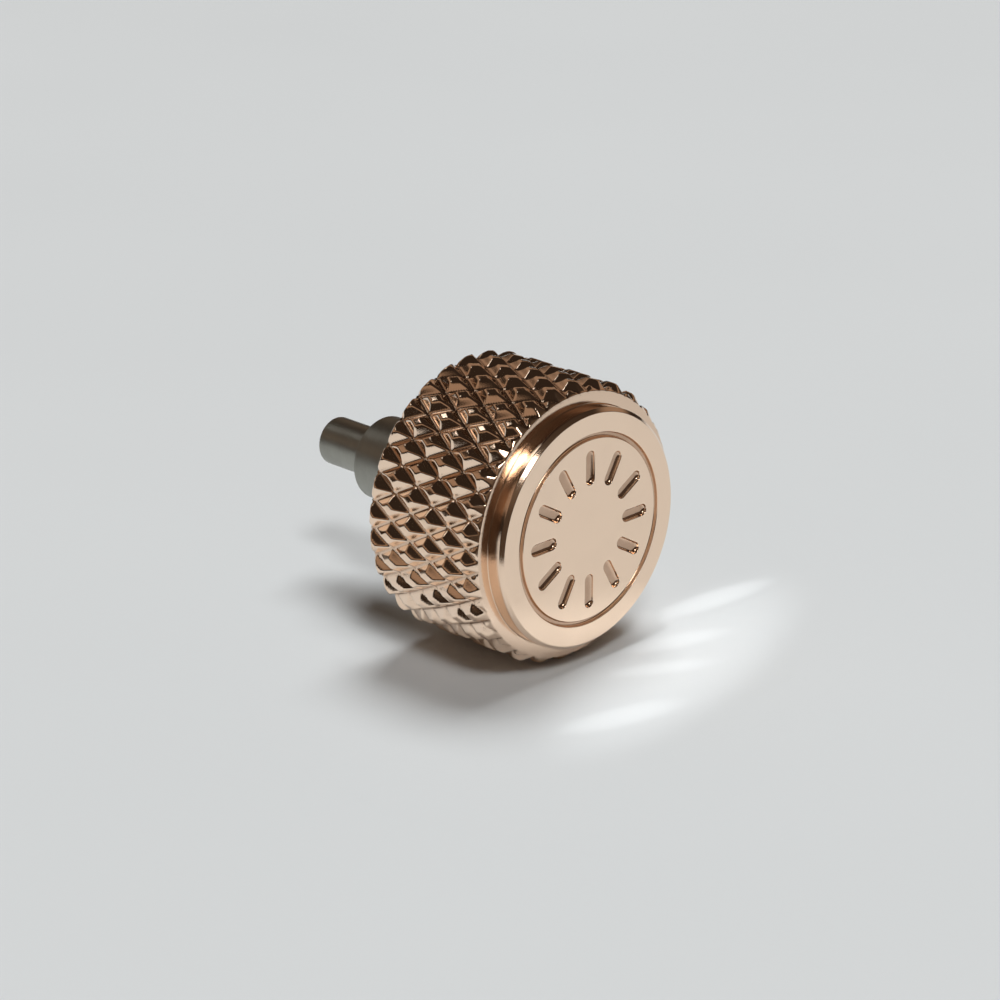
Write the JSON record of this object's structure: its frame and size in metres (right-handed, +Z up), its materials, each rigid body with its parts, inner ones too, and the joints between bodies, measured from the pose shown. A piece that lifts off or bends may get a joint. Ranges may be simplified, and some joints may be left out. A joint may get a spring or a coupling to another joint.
{
  "type": "watch crown",
  "caption": "Screw-down watch crown with a knurled head, a raised flat face, an internally threaded skirt and a sprung stem post in a centre tube.",
  "frame": {"origin": "on the surface that the crown lies on, under the middle of its box, with the stem post fully out", "axes": "+X along the crown's axis towards its flat face, -X towards the stem, +Z up"},
  "size_m": [0.0088, 0.007, 0.007],
  "materials": {
    "rose_gold": "polished steel with a rose gold coating",
    "turned_steel": "turned",
    "tube_steel": "satin, turned",
    "post_steel": "satin, turned",
    "spring_steel": "drawn wire",
    "bush_brass": "turned",
    "gasket_rubber": "smooth moulded"
  },
  "bodies": {
    "crown": {"crown_head": "rose_gold", "thread_sleeve": "turned_steel", "seat_gasket": "gasket_rubber", "gasket_washer": "turned_steel", "centre_tube": "tube_steel", "drive_bush": "bush_brass", "post_spring": "spring_steel"},
    "post": {"stem_post": "post_steel", "slip_washer": "bush_brass"}
  },
  "joints": [
    {"name": "post_slide", "type": "slide", "parent": "crown", "child": "post", "axis": [1, 0, 0], "range_m": [0, 0.0012], "stiffness_N_per_m": 500, "springref_m": -0.0015, "deforming": ["post_spring"]}
  ]
}
